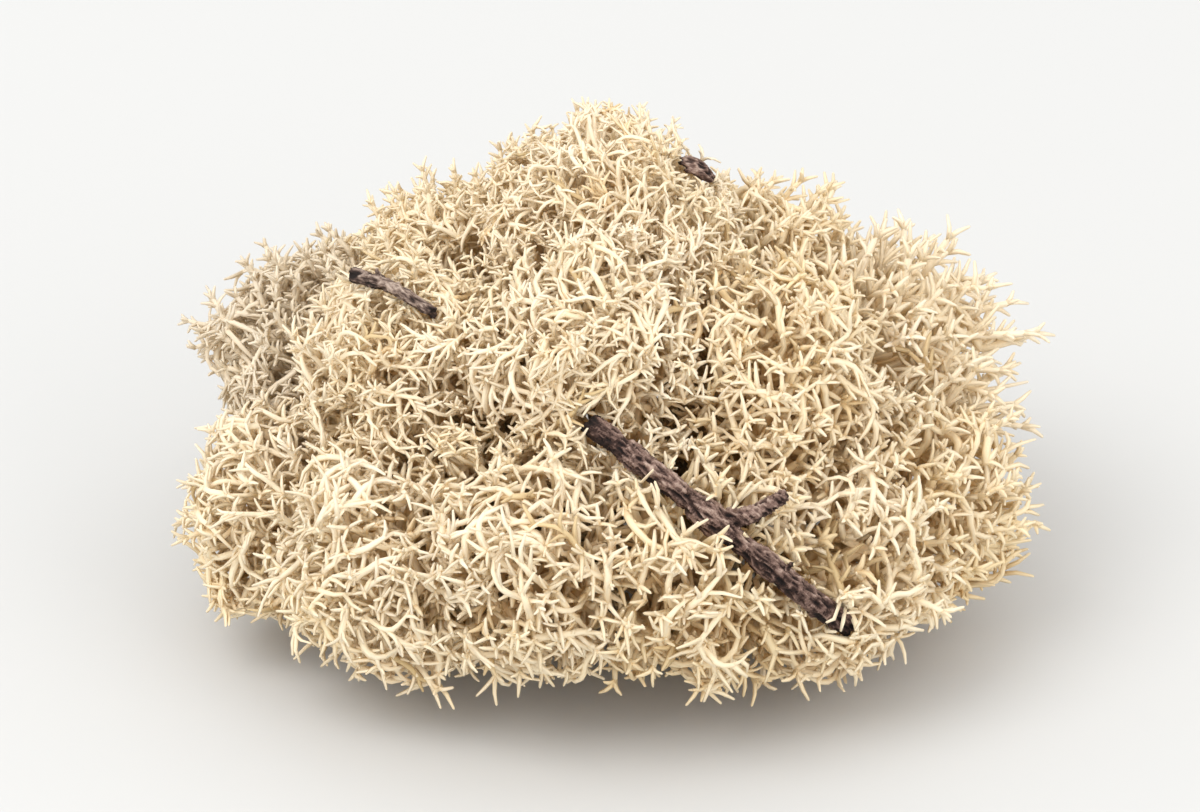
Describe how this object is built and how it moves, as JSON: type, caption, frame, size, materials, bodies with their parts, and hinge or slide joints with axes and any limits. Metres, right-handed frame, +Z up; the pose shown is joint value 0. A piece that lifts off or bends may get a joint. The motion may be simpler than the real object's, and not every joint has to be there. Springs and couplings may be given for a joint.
{
  "type": "reindeer moss clump",
  "caption": "Cushion-shaped clump of pale reindeer lichen: branching tufts leaning on each other, with small twigs caught between their heads, resting on flat stalk ends.",
  "frame": {"origin": "middle of the clump's box, on the surface it rests on", "axes": "+X to the right as seen from the front, along the longest side; +Y towards the back; +Z up"},
  "size_m": [0.0792, 0.067, 0.0482],
  "materials": {
    "cream_lichen": "dry, matte, finely branched",
    "straw_lichen": "dry, matte, finely branched",
    "chalky_lichen": "dry, matte, finely branched",
    "dark_twig": "dry bark",
    "grey_twig": "weathered bark"
  },
  "bodies": {
    "root": {"tuft_crown": "cream_lichen", "tuft_crown_left": "cream_lichen", "tuft_crown_right": "straw_lichen", "tuft_middle_left": "cream_lichen", "tuft_middle_front": "cream_lichen", "tuft_middle_right": "straw_lichen", "tuft_left_pale": "chalky_lichen", "tuft_left_rim": "cream_lichen", "tuft_right_shoulder": "cream_lichen", "tuft_right_rim": "straw_lichen", "tuft_front_left": "cream_lichen", "tuft_front_middle_left": "cream_lichen", "tuft_front_middle_right": "straw_lichen", "tuft_front_right": "cream_lichen", "tuft_back_left": "chalky_lichen", "tuft_back_middle_left": "cream_lichen", "tuft_back_middle_right": "cream_lichen", "tuft_back_right": "straw_lichen", "forked_twig": "dark_twig", "short_twig": "grey_twig", "bark_chip": "dark_twig"}
  },
  "joints": []
}
